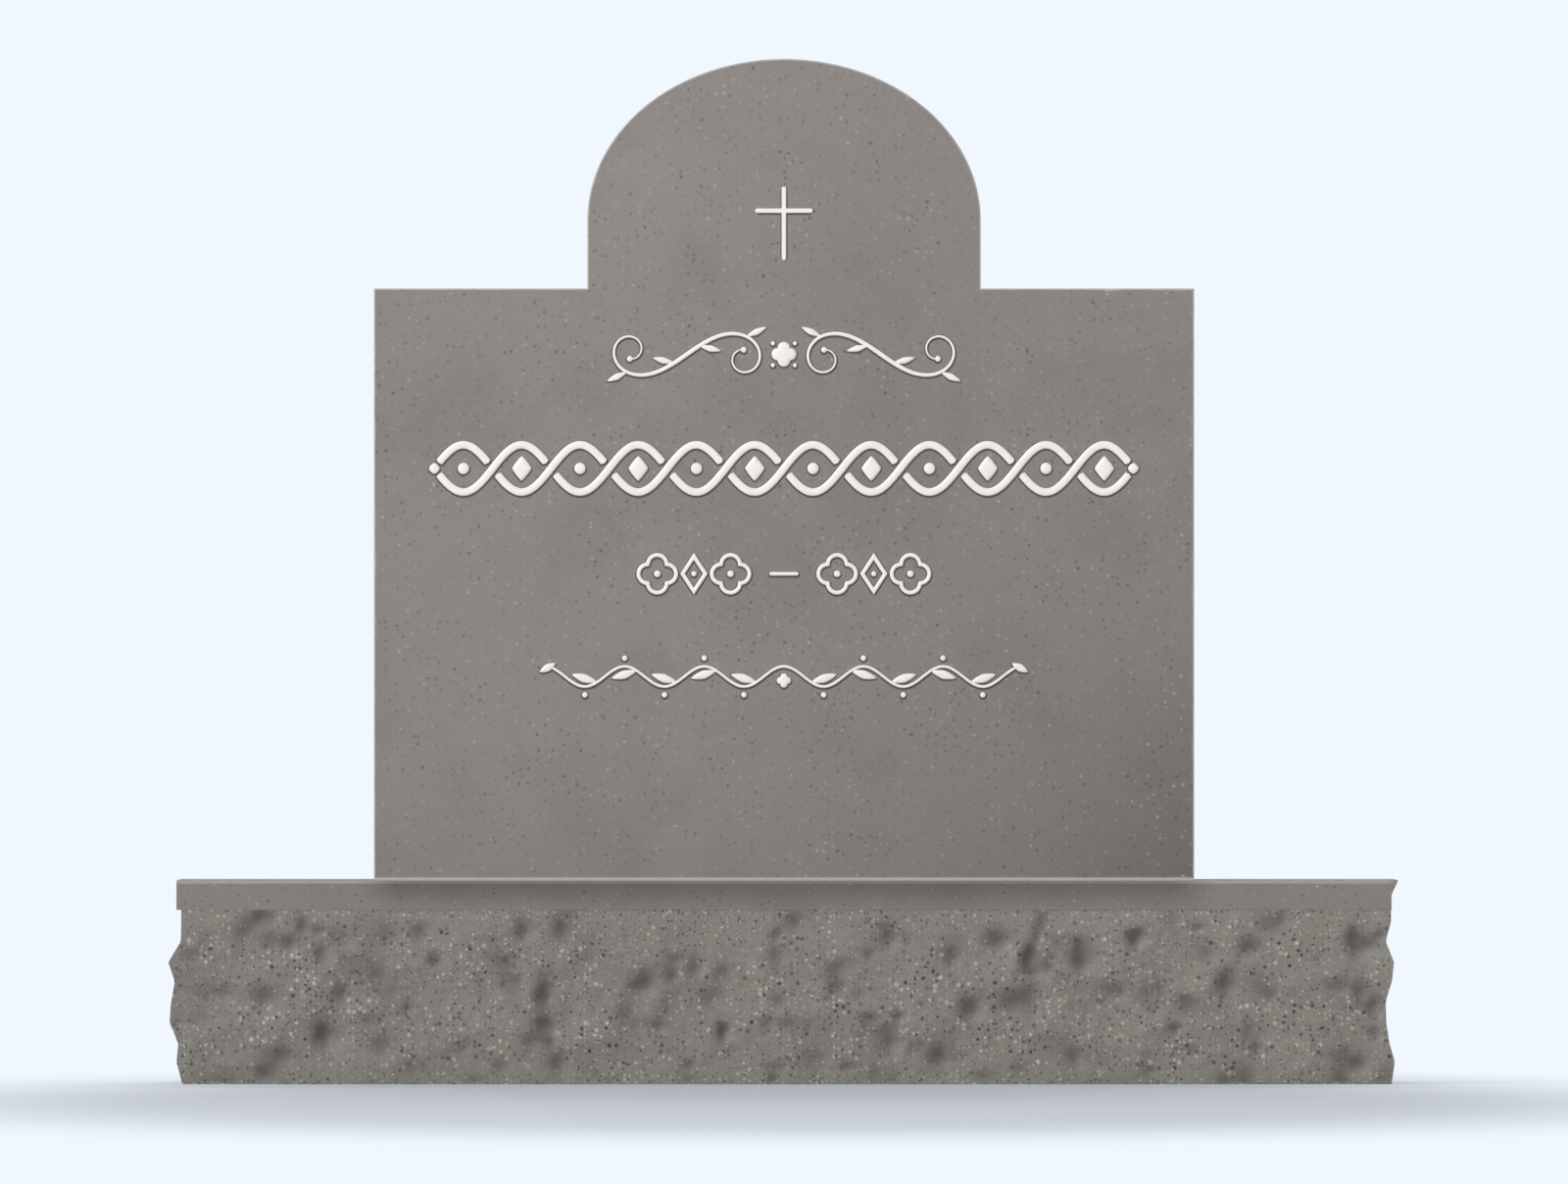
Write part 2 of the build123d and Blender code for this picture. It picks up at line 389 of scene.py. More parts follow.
# Tablet: the outline is carried through the stone's thickness.
# Each ring is outline - mitre * inset at its own y. The arris is a quarter round of radius r,
# inset = r - r sin(t) and y = face + r - r cos(t), and r grows where the edge is worn or bruised.
tabletShape = {
    "headWidth": 293,
    "archRise": 120,
    "neckHeight": 51,
    "spacing": 2.5,
    "arris": 0.8,
    "footArris": 0.5,  # share of it that is left along the foot
    "arrisSteps": 4,
    "band": 0.1,  # the arris is whitened, as bruising and as a painted highlight, this far on to the face and the side
    "bandFade": 0.3,  # and its whiteness ends this much further on
    # whiteness of the arris: bruising, and a painted highlight that runs all round, foot included
    "white": 0.8,
    "whiteVariety": 0.2,
    "whiteSpan": 3,
    "wear": 0.25,  # share by which the arris widens and narrows
    "wearSpan": 9,  # in points of the outline, as whiteSpan is
    "bruises": 40,
    "bruiseWidth": (2.0, 6.0),
    "bruiseDepth": (0.1, 0.4),
    "sideRows": 8,
    "seed": 11,
    "whiteSeed": 16,
    # place, reach and depth of darker and lighter parts: painted shade at the lower right, painted
    # light at the upper and lower left, then three darker patches of the stone
    "tonesAndPaintedLight": (
        ((305, -51, 154), 150, 0.4),
        ((-130, -51, 690), 110, -0.12),
        ((-100, -51, 255), 70, -0.09),
        ((55, -51, 612), 55, 0.09),
        ((72, -51, 502), 45, 0.12),
        ((-270, -51, 497), 40, 0.07),
    ),
}


# points from start towards end, without the end itself
def straight(start, end, spacing):
    steps = round(math.dist(start, end) / spacing)
    share = np.arange(steps)[:, None] / steps
    return np.array(start) * (1 - share) + np.array(end) * share


# outward direction at each point of a loop that runs anticlockwise: (n1 + n2) / (1 + n1 . n2),
# where n1 and n2 are the normals of the edges before and after it
def mitres(loop):
    edge = np.roll(loop, -1, 0) - loop
    normal = np.stack([edge[:, 1], -edge[:, 0]], -1) / np.linalg.norm(edge, axis=1)[:, None]
    before = np.roll(normal, 1, 0)
    return (before + normal) / (1 + (before * normal).sum(1))[:, None]


def buildTablet(shape):
    low, high = (np.array(corner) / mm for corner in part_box("tablet"))
    halfWidth, halfHead = (high[0] - low[0]) / 2, shape["headWidth"] / 2
    spring = high[2] - shape["archRise"]
    shoulder = spring - shape["neckHeight"]
    right = [(halfWidth, low[2]), (halfWidth, shoulder), (halfHead, shoulder), (halfHead, spring)]
    left = [(-x, z) for x, z in reversed(right)]
    spacing = shape["spacing"]
    turn = np.arange(0, np.pi, spacing / halfHead)
    arch = np.stack([halfHead * np.cos(turn), spring + shape["archRise"] * np.sin(turn)], -1)
    outline = np.vstack([
        *[straight(a, b, spacing) for a, b in zip(right, right[1:])],
        arch,
        *[straight(a, b, spacing) for a, b in zip(left, left[1:])],
        straight(left[-1], right[0], spacing),
    ])
    count = len(outline)
    outward = mitres(outline)
    travelled = np.arange(count) * spacing

    # radius of the arris on each face: worn unevenly, with small bruises exp(-(distance / width)^2)
    draw = random.Random(shape["seed"])
    radii = []
    for side in range(2):
        worn = loopNoise(count, shape["wearSpan"], shape["seed"] + side)
        radius = shape["arris"] * (1 + shape["wear"] * worn)
        for _ in range(shape["bruises"]):
            away = np.abs(travelled - draw.uniform(0, count * spacing))
            away = away / draw.uniform(*shape["bruiseWidth"])
            radius += draw.uniform(*shape["bruiseDepth"]) * np.exp(-away ** 2)
        radii.append(radius)

    # rings from each face round its arris to the side, each with its inset, depth and whiteness, which
    # is bruising and a painted highlight
    atFoot = outline[:, 1] < low[2] + shape["arris"] * 2
    bruiseAndHighlight = loopNoise(count, shape["whiteSpan"], shape["whiteSeed"])
    bruiseAndHighlight = shape["white"] + shape["whiteVariety"] * bruiseAndHighlight
    band, fade, flush = shape["band"], shape["bandFade"], np.zeros(count)
    profiles = []
    for side, radius in zip((1, -1), radii):
        radius = radius * np.where(atFoot, shape["footArris"], 1)
        quarter = [(radius - radius * np.sin(t), radius - radius * np.cos(t), 1)
                   for t in np.linspace(0, np.pi / 2, shape["arrisSteps"] + 1)]
        steps = [(radius + band + fade, flush, 0), (radius + band, flush, 1), *quarter,
                 (flush, radius + band, 1), (flush, radius + band + fade, 0)]
        profiles.append([
            (outline - outward * inset[:, None], side * (low[1] + depth), bruiseAndHighlight * weight)
            for inset, depth, weight in steps
        ])
    front, back = profiles
    between = [
        (outline, front[-1][1] * (1 - share) + back[-1][1] * share, np.zeros(count))
        for share in np.linspace(0, 1, shape["sideRows"] + 2)[1:-1]
    ]
    rows = [*front, *between, *reversed(back)]
    points = np.vstack([np.column_stack([flat[:, 0], y, flat[:, 1]]) for flat, y, _ in rows])
    arris = np.concatenate([weight for _, _, weight in rows])
    faces = [
        tubeFaces(len(rows), count),
        ringFace(0, count),
        ringFace(len(points) - count, count),
    ]
    piece = buildPiece("tabletStone", points, faces, {"arris": arris})
    piece.data.materials.append(granite("honedGraniteTablet", honedLook, shape["tonesAndPaintedLight"]))
    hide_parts("tablet")
    return piece


# Base: rings of points from the ground up, each round the four sides of the stone.
# Out from the margin, a pitched face is taper * (bowls - lowest) * relief - setback, where
# bowls(a, u) is the least over the flakes of depth + ((a - a0) / width)^2 + ((u - u0) / height)^2.
baseShape = {
    "marginLength": 903,
    "marginDepth": 290,
    "marginHeight": 22,
    "lipHeight": 10.5,
    "lipOverhang": 5,
    "arris": 2.3,  # chamfer along the front and back of the top
    "arrisDrops": (2.3, 0.8, 0.4, 0),  # its rings, this far below the top
    "arrisEdge": 0.25,  # over which its whiteness ends
    # whiteness of the chamfer: bruising, and a painted highlight
    "arrisBruiseAndHighlight": 0.54,
    "flakeWidth": 54,
    "flakeHeight": 43,
    "flakeScatter": 0.3,
    "flakeVariety": 0.25,
    "proud": 7.5,
    "endHollow": 9,
    "setback": 0.3,
    "rise": 0.25,  # share of the height over which a face comes out from its pitched lines
    "chips": 0.22,  # of finer chips, in the flakes' own depths
    "chipSize": 1 / 3,  # of a flake's
    "grit": 0.5,  # and of broken crystals
    "gritSize": (6, 15),
    "pitsPerMetre": 200,
    "pitRadius": (4.0, 9.0),
    "pitSquash": (0.7, 1.3),
    "pitDepth": (0.3, 2.0),
    "pitDirtAndShade": 0.85,  # power of the depth for the dirt and painted shade: under 1 it darkens shallow pits too
    # painted highlight on the side of each pit that faces the light
    "pitHighlight": 0.2,
    "pitHighlightAside": 0.9,  # in pit radii, down and to the right
    "pitHighlightEdge": 1.6,  # the larger, the smaller the painted highlights
    "cornerEase": 26,  # the ends hollow out from their corners over this distance
    "wander": 22,  # and their ledges move up and down this far
    "wanderSize": (50, 150),
    "outlineEase": 3,  # pits fade out this close to the ends' outline
    "cornerReach": 60,  # a face's relief carries on this far round its corners
    "seeds": {"front": 1, "back": 2, "left": 3, "right": 4, "chips": 20, "wander": 30},
    "spacing": 3,
    "marginRows": 8,
    "topRows": 18,
    "hiddenHalfLength": 294,  # the rings on top end under the tablet
    "hiddenHalfDepth": 43,
    "socketDiameter": 18,
    "socketDepth": 60,
    "socketSpacing": 620,
    "socketPoints": 32,
    "pitchedPaintedLight": (((480, -152, 70), 650, -0.15),),  # painted light, lighter towards the right end: place, reach and depth
    # and the same painted light on the honed margin
    "honedPaintedLight": (((480, -152, 140), 300, -0.07),),
    # outline of the ends: shares of the pitched height, and how far they stand out of the margin
    "levels": (0, 0.13, 0.23, 0.355, 0.475, 0.59, 0.7, 0.82, 0.935, 1),
    "leftProud": (-4.4, 0, -1.5, 5.1, 3.9, 1.1, 6.0, -3.3, -3.6, -3.6),
    "rightProud": (0, 2.4, -1.5, -4.0, -4.4, 0.2, 1.8, -4.4, -0.4, -0.4),
}


# bowls(a, u) of a face's flakes, which lie in rows that overlap like brickwork
def bowls(shape, length, height, along, up, seed, size=1.0):
    draw = random.Random(seed)
    wide, tall = shape["flakeWidth"] * size, shape["flakeHeight"] * size
    scatter, variety = shape["flakeScatter"], shape["flakeVariety"]
    lowest = np.full(along.shape, np.inf)
    for row in range(math.ceil(height / tall)):
        for column in range(math.ceil(length / wide) + 1):
            a = (column + row % 2 / 2 + draw.uniform(-scatter, scatter)) * wide - length / 2
            u = (row + 0.5 + draw.uniform(-scatter, scatter)) * tall
            depth = draw.uniform(-variety, variety)
            bowl = ((along - a) / wide) ** 2 + ((up - u) / tall) ** 2
            lowest = np.minimum(lowest, depth + bowl)
    return lowest


# pits over a face: the sum of depth * exp(-(distance / radius)^2), and beside each, below it and to the
# right, a painted highlight where its slope would face the light
def pits(shape, length, height, along, up, seed):
    draw = random.Random(seed)
    total, paintedPitHighlight = np.zeros(along.shape), np.zeros(along.shape)
    aside, edge = shape["pitHighlightAside"], shape["pitHighlightEdge"]
    for _ in range(round(shape["pitsPerMetre"] * length * mm)):
        a, u = draw.uniform(-length / 2, length / 2), draw.uniform(0, height)
        radius = draw.uniform(*shape["pitRadius"])
        squashed = draw.uniform(*shape["pitSquash"])
        depth = draw.uniform(*shape["pitDepth"])
        away = ((along - a) * squashed / radius) ** 2 + ((up - u) / squashed / radius) ** 2
        total += depth * np.exp(-away)
        beside = ((along - a) / radius - aside) ** 2 + ((up - u) / radius + aside) ** 2
        paintedPitHighlight += depth * np.exp(-beside * edge)
    return total, paintedPitHighlight


# one face's height in flake depths, and its pits and grit in millimetres
def pitchedFace(shape, length, height, along, up, seed):
    flaked = bowls(shape, length, height, along, up, seed)
    chips = bowls(shape, length, height, along, up, seed + shape["seeds"]["chips"], shape["chipSize"])
    flaked = flaked + shape["chips"] * chips
    pitted, paintedPitHighlight = pits(shape, length, height, along, up, seed)
    grit = shape["grit"] * (waves(along, up, *shape["gritSize"], seed) - 1)
    return flaked - flaked.min(), pitted, paintedPitHighlight, grit


# a ring of points at one height
def levelRing(x, y, z):
    return np.column_stack([x, y, np.full(len(x), z)])


def buildBase(shape):
    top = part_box("base")[1].z / mm
    halfLength, halfDepth = shape["marginLength"] / 2, shape["marginDepth"] / 2
    pitchedTop = top - shape["marginHeight"]
    rows = round(pitchedTop / shape["spacing"])
    share = np.linspace(0, 1, rows + 1)
    up = share * pitchedTop
    taper = np.sin(np.pi / 2 * np.clip(np.minimum(share, 1 - share) / shape["rise"], 0, 1))[:, None]
    seeds = shape["seeds"]

    alongX = np.linspace(-halfLength, halfLength, round(2 * halfLength / shape["spacing"]) + 1)
    alongY = np.linspace(-halfDepth, halfDepth, round(2 * halfDepth / shape["spacing"]) + 1)

    def longFace(seed):
        a, u = np.meshgrid(alongX, up)
        flaked, pitted, paintedPitHighlight, grit = pitchedFace(shape, 2 * halfLength, pitchedTop, a, u, seed)
        out = taper * flaked
        out = out * (shape["proud"] + shape["setback"]) / out.max() - shape["setback"]
        out = out + taper * (grit - pitted + shape["grit"])
        return np.minimum(out, shape["proud"]), pitted, paintedPitHighlight

    def endFace(proud, seed):
        a, u = np.meshgrid(alongY, up)
        flaked, pitted, paintedPitHighlight, grit = pitchedFace(shape, 2 * halfDepth, pitchedTop, a, u, seed)
        outmost = np.interp(share, shape["levels"], proud)[:, None]
        inward = smooth((halfDepth - np.abs(a)) / shape["cornerEase"])  # the corners carry the outline
        # between them its ledges wander up and down, and stay behind it
        wander = waves(a, u, *shape["wanderSize"], seed + seeds["wander"])
        lifted = share[:, None] + taper * inward * wander * shape["wander"] / pitchedTop
        ledges = np.minimum(np.interp(lifted, shape["levels"], proud), outmost)
        sunk = (ledges + shape["endHollow"]) * (1 - flaked / flaked.max(1)[:, None])
        out = ledges - taper * inward * sunk
        # no pits where the outline shows
        within = np.clip((outmost - out) / shape["outlineEase"], 0, 1)
        return out + taper * within * (grit - pitted), pitted, paintedPitHighlight

    # the four faces in turn from the front left corner, with their columns in that order too
    front, back = longFace(seeds["front"]), longFace(seeds["back"])
    right = endFace(shape["rightProud"], seeds["right"])
    left = endFace(shape["leftProud"], seeds["left"])
    back, left = ([values[:, ::-1] for values in face] for face in (back, left))
    turns = [front, right, back, left]
    sizes = [len(face[0][0]) - 1 for face in turns]
    ringX = np.concatenate([
        alongX[:-1], np.full(sizes[1], halfLength), alongX[:0:-1], np.full(sizes[3], -halfLength)
    ])
    ringY = np.concatenate([
        np.full(sizes[0], -halfDepth), alongY[:-1], np.full(sizes[2], halfDepth), alongY[:0:-1]
    ])
    onRight, onFront, onBack = ringX >= halfLength, ringY <= -halfDepth, ringY >= halfDepth
    count = len(ringX)

    # how far a face stands out, round the ring: along its neighbours its end columns fade away
    def standing(turn, distance):
        out = turns[turn][0]
        own = [out[:, :-1], out[:, -1:], out[:, :1], out[:, :1]]
        parts = [np.broadcast_to(own[(k - turn) % 4], (rows + 1, sizes[k])) for k in range(4)]
        return np.hstack(parts) * np.clip(1 - distance / shape["cornerReach"], 0, 1) ** 2

    pitchedX = ringX + standing(1, halfLength - ringX) - standing(3, halfLength + ringX)
    pitchedY = ringY + standing(2, halfDepth - ringY) - standing(0, halfDepth + ringY)
    pitted, paintedPitHighlight = (
        np.clip(np.hstack([face[kind][:, :-1] for face in turns]) / shape["pitDepth"][1], 0, 1)
        for kind in (1, 2)
    )

    # the margin: upright, with a lip at the right-hand end and its long edges eased
    def marginRing(z, inset=0.0):
        lip = np.clip((z - top + shape["lipHeight"]) / shape["lipHeight"], 0, 1)
        x = ringX + onRight * (shape["lipOverhang"] * lip)
        return levelRing(x, ringY + onFront * inset - onBack * inset, z)

    arris, edge = shape["arris"], shape["arrisEdge"]
    pitchedRings = [levelRing(x, y, z) for x, y, z in zip(pitchedX, pitchedY, up)]
    marginLevels = np.linspace(pitchedTop, top - arris - edge, shape["marginRows"])
    marginRings = [marginRing(z) for z in marginLevels]
    arrisRings = [marginRing(top - drop, arris - drop) for drop in shape["arrisDrops"]]
    rim = marginRing(top, arris + edge)
    inner = levelRing(ringX * shape["hiddenHalfLength"] / halfLength,
                      ringY * shape["hiddenHalfDepth"] / halfDepth, top)
    topRings = [rim * (1 - s) + inner * s for s in np.linspace(0, 1, shape["topRows"] + 1)]
    rings = [*pitchedRings, *marginRings, *arrisRings, *topRings]
    points = np.vstack(rings)

    # the arris is whitened as bruising and a painted highlight, each pit gets a painted highlight below
    # it and to the right, and dirt and painted shade lie in the pits
    bruiseAndHighlight, dirtAndShade = np.zeros((2, len(rings), count))
    first = len(pitchedRings) + len(marginRings)
    bruiseAndHighlight[first:first + len(arrisRings)] = shape["arrisBruiseAndHighlight"] * ~onRight
    bruiseAndHighlight[:rows + 1] = shape["pitHighlight"] * paintedPitHighlight
    dirtAndShade[:rows + 1] = pitted ** shape["pitDirtAndShade"]
    bruiseAndHighlight[0] = dirtAndShade[0] = 0  # the sawn underside shares the lowest ring
    # painted shadow below the tablet, and the darker flat top
    tabletShadow = paintTabletShadow(points, halfDepth - arris)

    # the rings' sides and flat top, then two anchor sockets, each a tube with a flat end
    honed, pitched, sawn = range(3)  # its materials
    ringOf = np.repeat(np.arange(len(rings) - 1), count)
    faces = [tubeFaces(len(rings), count), ringFace(len(points) - count, count)]
    materialIndex = [np.where(ringOf < rows, pitched, honed), np.array([honed])]
    around = shape["socketPoints"]
    circle = polar(shape["socketDiameter"] / 2, fullTurn(around)).T
    for x in (-shape["socketSpacing"] / 2, shape["socketSpacing"] / 2):
        tube = np.vstack([levelRing(circle[0] + x, circle[1], z) for z in (0, shape["socketDepth"])])
        faces.append(tubeFaces(2, around) + len(points))
        faces.append(ringFace(len(points) + around, around))
        materialIndex.append(np.full(around + 1, sawn))
        points = np.vstack([points, tube])
    spare = np.zeros(len(points) - bruiseAndHighlight.size)
    attributes = {
        "arris": np.concatenate([bruiseAndHighlight.ravel(), spare]),
        "tabletShadowAndDarkTop": np.concatenate([tabletShadow, spare]),
        "dirtAndShade": np.concatenate([dirtAndShade.ravel(), spare]),
    }
    materialIndex = np.concatenate(materialIndex)
    piece = buildPiece("baseStone", points, faces, attributes, materialIndex, fillWith=sawn)
    piece.data.materials.append(granite("honedGraniteBase", baseHonedLook, shape["honedPaintedLight"]))
    piece.data.materials.append(granite("rockPitchedGranite", pitchedLook, shape["pitchedPaintedLight"]))
    piece.data.materials.append(granite("sawnGranite", sawnLook))
    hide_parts("base")
    return piece


# Painted shadow below the tablet's face: it starts within the chamfer, is strongest under it and fades
# down the margin and round the tablet's ends, as a product of smooth steps s^2 (3 - 2 s). The flat top
# is darker all over.
tabletShadowLook = {
    "strongest": 0.5,
    "starts": 0.4,
    "startFade": 0.4,
    "endFade": 42,
    "marginFade": 28,
    # the painted shadow lies this far to the right
    "shift": 2,
    "lean": 0.06,  # by which it is stronger at the left end and weaker at the right
    # darkness of the flat top
    "top": 0.22,
    "clearance": 0.1,  # the top's darkness keeps this far from its edges
}


def paintTabletShadow(points, flatHalfDepth):
    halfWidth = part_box("tablet")[1].x / mm
    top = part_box("base")[1].z / mm
    x, y, z = points.T
    beyond = np.abs(x - tabletShadowLook["shift"]) - halfWidth
    under = smooth(0.5 - beyond / tabletShadowLook["endFade"]) * (1 - tabletShadowLook["lean"] * x / halfWidth)
    started = smooth((top - z - tabletShadowLook["starts"]) / tabletShadowLook["startFade"])
    below = started * smooth(1 - (top - z) / tabletShadowLook["marginFade"])
    tabletShadow = tabletShadowLook["strongest"] * under * below * (y < 0)
    clearance = tabletShadowLook["clearance"]
    onTop = (z > top - clearance) & (np.abs(y) < flatHalfDepth - clearance)
    return np.maximum(tabletShadow, tabletShadowLook["top"] * onTop)


# Ornament in the face: strokes and beads of enamel, each in a bed of dark resin that shows as a thin
# line round it, set lower so that it is widest below as a painted shadow. Across a stroke, at the share
# c of its half width, the dome rises rise * sqrt(1 - c^4), and its edges are sunk a little into the
# stone.
inlaySection = {
    "grow": 0,
    "drop": 0,
    "rise": 1.3,
    "sunk": 0.3,
    "columns": 9,
    "spacing": 0.6,
    "beadRings": 5,
}
# a bed is the resin round a stroke, and a painted shadow
shadowBedSection = {
    "grow": 0.95,  # wider than its stroke on each side
    "drop": 0.6,  # and set lower, so that it lies mostly below its stroke as a painted shadow
    "rise": 0.08,
    "sunk": 0.02,
    "columns": 7,
    "spacing": 0.8,
    "beadRings": 3,
}
beadPoints = 48
bluntness = 0.03  # square of the share of its width that a stroke keeps at its very ends


# a path's points, evenly spaced along it
def evenly(path, spacing, closed=False):
    if closed:
        path = np.vstack([path, path[:1]])
    travelled = distances(path)
    at = np.linspace(0, travelled[-1], round(travelled[-1] / spacing) + 1)
    points = np.column_stack([np.interp(at, travelled, path[:, k]) for k in (0, 1)])
    return points[:-1] if closed else points


# a stroke along a path, with one width or several spread along it, and its ends rounded over endRound
def stroke(path, width, closed=False, endRound=1.5):
    return {"path": np.asarray(path, float), "width": width, "closed": closed, "endRound": endRound}


# a bead or leaf, by its outline about its centre
def bead(centre, outline):
    return {"centre": np.array(centre, float), "outline": outline}


# places (x, z) on the face, raised out of it by the section's dome at their share of the half width
def raised(flat, share, section):
    up = np.where(np.abs(share) < 1, section["rise"] * np.sqrt(1 - share ** 4), -section["sunk"])
    return np.dstack([flat[..., 0], np.broadcast_to(-up, flat.shape[:2]), flat[..., 1]]).reshape(-1, 3)


def strokeMesh(part, section):
    path, closed, grow = part["path"], part["closed"], section["grow"]
    if grow and not closed:
        # a bed runs on past both ends
        away = np.array([path[0] - path[1], path[-1] - path[-2]])
        away = away / np.linalg.norm(away, axis=1)[:, None] * grow
        path = np.vstack([path[0] + away[0], path, path[-1] + away[1]])
    path = evenly(path, section["spacing"], closed)
    count = len(path)
    width = np.atleast_1d(part["width"])
    width = np.interp(np.linspace(0, 1, count), np.linspace(0, 1, len(width)), width) + 2 * grow
    if closed:
        outward = mitres(path)
    else:
        # rounded ends: width * sqrt(1 - (1 - s)^2), where s runs from 0 at the end to 1
        ahead = np.gradient(path, axis=0)
        outward = np.column_stack([ahead[:, 1], -ahead[:, 0]]) / np.linalg.norm(ahead, axis=1)[:, None]
        toEnd = np.minimum(np.arange(count), np.arange(count)[::-1]) * section["spacing"]
        s = np.clip(toEnd / (part["endRound"] + grow), 0, 1)
        width = width * np.sqrt(np.maximum(1 - (1 - s) ** 2, bluntness))
    across = np.sin(np.linspace(-np.pi / 2, np.pi / 2, section["columns"]))
    flat = path[:, None] + outward[:, None] * across[None, :, None] * (width / 2)[:, None, None]
    points = raised(flat, across, section)
    columns = len(across)
    faces = [tubeFaces(count, columns, closed)]
    if not closed:
        faces += [ringFace(0, columns), ringFace(len(points) - columns, columns)]
    return points, faces


# rings of a bead's outline drawn in to its centre
def beadMesh(part, section):
    centre, outline = part["centre"], part["outline"]
    outline = outline * (1 + section["grow"] / np.linalg.norm(outline, axis=1)[:, None])
    share = np.sin(np.linspace(0, np.pi / 2, section["beadRings"] + 1))[1:, None]
    rings = raised(centre + outline[None] * share[..., None], share, section)
    points = np.vstack([[centre[0], -section["rise"], centre[1]], rings])
    count = len(outline)
    around = np.arange(count)
    faces = [
        np.column_stack([np.zeros(count, int), around + 1, (around + 1) % count + 1]),
        tubeFaces(len(share), count) + 1,
        ringFace(len(points) - count, count),
    ]
    return points, faces


# outline |x / a|^p + |z / b|^p = 1, turned by an angle: round at p = 2, pointed as p nears 1
def petal(halfLength, halfWidth, power=2.0, angle=0.0):
    x, z = polar(1, fullTurn(beadPoints)).T
    radius = (np.abs(x / halfLength) ** power + np.abs(z / halfWidth) ** power) ** (-1 / power)
    x, z = x * radius, z * radius
    cosine, sine = math.cos(angle), math.sin(angle)
    return np.column_stack([x * cosine - z * sine, x * sine + z * cosine])


def disc(radius):
    return petal(radius, radius)


# four round lobes that meet in cusps: r = radius * cos(angle from the nearest lobe's axis)
def quatrefoil(radius):
    turn = fullTurn(4 * beadPoints)
    return polar(radius * np.cos((turn + np.pi / 4) % (np.pi / 2) - np.pi / 4), turn)


# the parts, and their mirror images at the other side of the middle
def mirrored(parts):
    flip = np.array([-1, 1])
    places = ("path", "centre", "outline")
    return parts + [
        {key: value * flip if key in places else value for key, value in part.items()} for part in parts
    ]


# joins a row's parts in one section, sets them on the face at their height and makes them one piece
def buildParts(name, middle, parts, section):
    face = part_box("tablet")[0].y / mm
    points, faces, used = [], [], 0
    for part in parts:
        partPoints, partFaces = strokeMesh(part, section) if "path" in part else beadMesh(part, section)
        points.append(partPoints)
        faces += [corners + used for corners in partFaces]
        used += len(partPoints)
    place = (0, face, middle - section["drop"])
    return buildPiece(name, np.vstack(points) + place, faces, sharpAngle=50)


# a dark resin bed under each row's parts, a painted shadow
def buildShadowBed(name, middle, parts):
    piece = buildParts(name, middle, parts, shadowBedSection)
    piece.data.materials.append(grained(name + "ShadowResin", shadowResinLook))


def buildRow(name, middle, parts):
    piece = buildParts(name, middle, parts, inlaySection)
    piece.data.materials.append(enamel(name + "Enamel", enamelLook))
    buildShadowBed(name + "ShadowBed", middle, parts)
    print(name, "done")


# First row: a scroll on each side of a boss. Along a scroll, at t from -1 to 1, the heading is
# turns * 2 pi * |t|^(power + 1), so that it runs straight in the middle and coils at both ends.
scrollRow = {
    "middle": 543,
    "from": 17,
    "to": 127.5,
    "power": 1.25,
    "turns": 1.12,
    "lean": -35,
    "halfSteps": 600,
    "widths": (1.3, 2.0, 3.0, 3.6, 3.0, 2.0, 1.3),
    "endRound": 0.8,
    "eye": 2.3,
    "leaf": (8.5, 2.5),
    "leafPower": 1.3,
    "leaves": ((0.1, 46), (0.43, -50)),  # place along each half, and splay from the way it grows
    "boss": 9.5,
    "bossBead": 1.7,
    "bossBeadAt": 0.86,  # share of the boss, along both axes
}


def scrollParts(row):
    halfSteps = row["halfSteps"]
    t = np.linspace(-1, 1, 2 * halfSteps + 1)
    heading = row["turns"] * 2 * np.pi * np.abs(t) ** (row["power"] + 1) + math.radians(row["lean"])
    path = np.cumsum(polar(1, heading), 0)
    path -= (path.min(0) + path.max(0)) / 2
    length = row["to"] - row["from"] - max(row["widths"]) / 2
    path = path * length / np.ptp(path[:, 0]) + ((row["from"] + row["to"]) / 2, 0)
    parts = [stroke(path, row["widths"], endRound=row["endRound"])]
    parts += [bead(path[end], disc(row["eye"])) for end in (0, -1)]
    for at, splay in row["leaves"]:
        for half in (1, -1):
            index = round((1 + half * at) * halfSteps)
            angle = heading[index] + (0 if half > 0 else math.pi) + math.radians(splay)
            middle = path[index] + polar(row["leaf"][0], angle)
            parts.append(bead(middle, petal(*row["leaf"], row["leafPower"], angle)))
    parts = mirrored(parts)
    parts.append(bead((0, 0), quatrefoil(row["boss"])))
    diagonal = row["boss"] * row["bossBeadAt"]
    for x in (diagonal, -diagonal):
        parts += [bead((x, z), disc(row["bossBead"])) for z in (diagonal, -diagonal)]
    return parts


# Second row: two strands z = +/- height * sin(pi x / pitch) plaited over and under, a bead in each eye.
# The strand that goes under is broken for a gap on each side of the one over it.
plaitRow = {
    "middle": 458,
    "lobes": 12,
    "stepsPerLobe": 80,
    "pitch": 43.4,
    "height": 17.6,
    "width": 6,
    "gap": 1.5,
    "endRound": 1.2,
    "lozenge": (7.5, 9.5),
    "lozengePower": 1.15,
    "round": 4.4,
    "finial": 4.2,
    "finialPower": 1.5,
}


